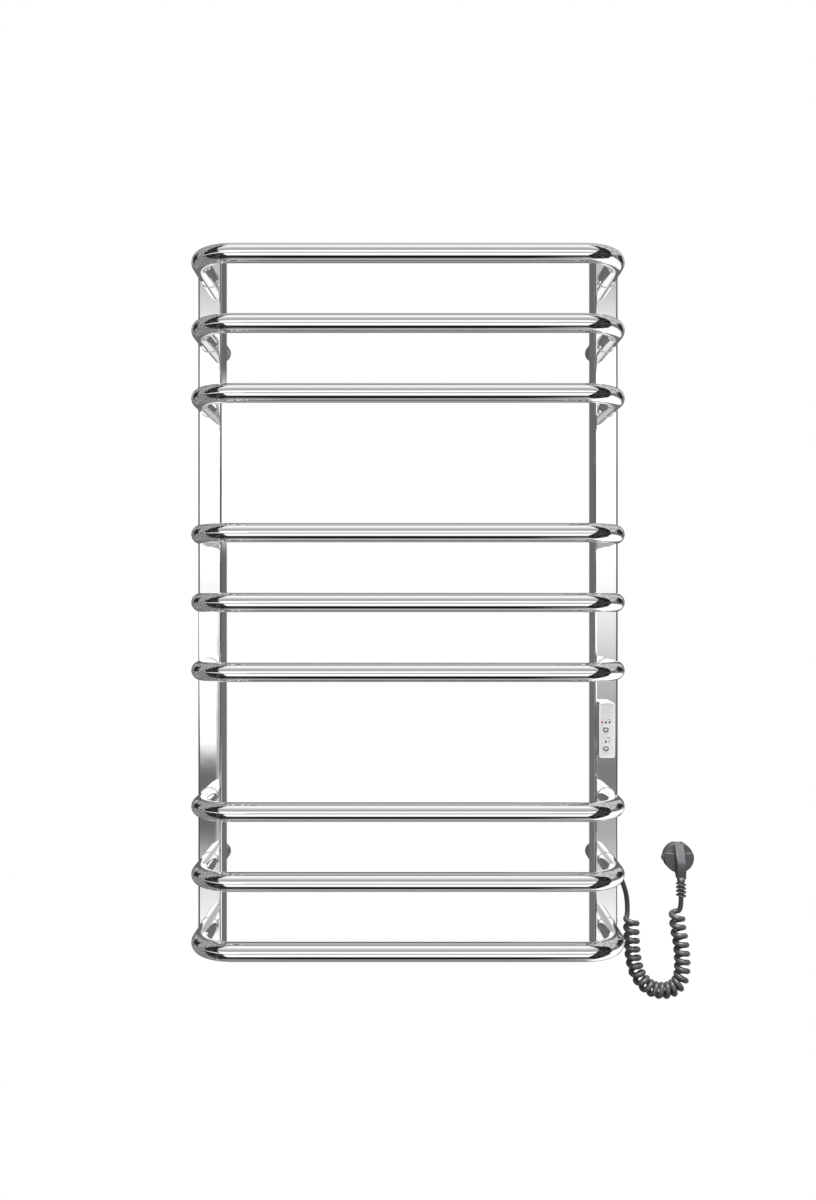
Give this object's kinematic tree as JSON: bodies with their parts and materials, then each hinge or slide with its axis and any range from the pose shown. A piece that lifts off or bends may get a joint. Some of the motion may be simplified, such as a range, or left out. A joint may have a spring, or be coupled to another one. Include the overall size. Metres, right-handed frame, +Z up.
{
  "type": "towel warmer rack",
  "caption": "Wall-hung electric towel warmer: two upright tubes, U-shaped round rungs in groups, a push-button control module and a curly mains cord with an angled earthed plug.",
  "frame": {"origin": "centre of the four wall screws, on the wall plane", "axes": "+Z up, -Y out of the wall towards the user, +X to the right as the user sees it"},
  "size_m": [0.6044, 0.1856, 0.9001],
  "materials": {
    "chrome_steel": "polished chrome plate",
    "satin_steel": "satin",
    "dark_steel": "blackened",
    "zinc_steel": "zinc plated",
    "tinned_copper": "tinned",
    "pin_nickel": "nickel plated",
    "bright_plastic": "bright metallised plastic",
    "silver_face": "fine metallic grain",
    "button_grey": "satin with a printed ring",
    "red_lens": "translucent",
    "dark_lens": "translucent",
    "black_plastic": "moulded",
    "black_rubber": "matt",
    "board_green": "lacquered",
    "relay_blue": "moulded",
    "terminal_white": "moulded",
    "cable_red": "silicone",
    "earth_green": "green and yellow",
    "cord_grey": "satin polyurethane",
    "plug_grey": "fine moulded grain"
  },
  "bodies": {
    "wall_bases": {"lower_left_wall_base": "satin_steel", "lower_right_wall_base": "satin_steel", "upper_left_wall_base": "satin_steel", "upper_right_wall_base": "satin_steel"},
    "rack": {"board_screws": "zinc_steel", "boot_lock_nut": "black_plastic", "bracket_grub_screws": "dark_steel", "button_switches": "black_plastic", "circuit_board": "board_green", "cold_lead": "black_rubber", "control_faceplate": "silver_face", "control_gasket": "black_rubber", "control_housing": "bright_plastic", "cord_boot": "plug_grey", "dark_indicators": "dark_lens", "earth_nut": "zinc_steel", "earth_ring_terminal": "tinned_copper", "earth_stud": "zinc_steel", "earth_washer": "zinc_steel", "earth_wire": "earth_green", "heating_cable": "cable_red", "heating_cable_end_seal": "black_rubber", "heating_cable_joint": "black_rubber", "inner_mains_lead": "cord_grey", "left_post": "chrome_steel", "lower_left_end_cap": "black_plastic", "lower_left_sleeve": "satin_steel", "lower_right_end_cap": "black_plastic", "lower_right_sleeve": "satin_steel", "plug_body": "plug_grey", "plug_earth_clips": "pin_nickel", "plug_lead": "cord_grey", "plug_pins": "pin_nickel", "plug_strain_relief": "plug_grey", "power_relay": "relay_blue", "power_supply_block": "black_plastic", "red_indicator": "red_lens", "right_post": "chrome_steel", "rung_1": "chrome_steel", "rung_2": "chrome_steel", "rung_3": "chrome_steel", "rung_4": "chrome_steel", "rung_5": "chrome_steel", "rung_6": "chrome_steel", "rung_7": "chrome_steel", "rung_8": "chrome_steel", "rung_9": "chrome_steel", "sensor_lead": "terminal_white", "supply_cord_coil": "cord_grey", "supply_cord_lead": "cord_grey", "temperature_sensor": "zinc_steel", "terminal_block": "terminal_white", "upper_left_end_cap": "black_plastic", "upper_left_sleeve": "satin_steel", "upper_right_end_cap": "black_plastic", "upper_right_sleeve": "satin_steel", "weld_seams": "chrome_steel"},
    "timer_button": {"timer_button": "button_grey"},
    "power_button": {"power_button": "button_grey"}
  },
  "joints": [
    {"name": "rack_stand_off", "type": "slide", "parent": "wall_bases", "child": "rack", "axis": [0, -1, 0], "range_m": [0, 0.015]},
    {"name": "timer_button_press", "type": "slide", "parent": "rack", "child": "timer_button", "axis": [0, 1, 0], "range_m": [0, 0.0005], "stiffness_N_per_m": 1500, "springref_m": -0.0006},
    {"name": "power_button_press", "type": "slide", "parent": "rack", "child": "power_button", "axis": [0, 1, 0], "range_m": [0, 0.0005], "stiffness_N_per_m": 1500, "springref_m": -0.0006}
  ]
}
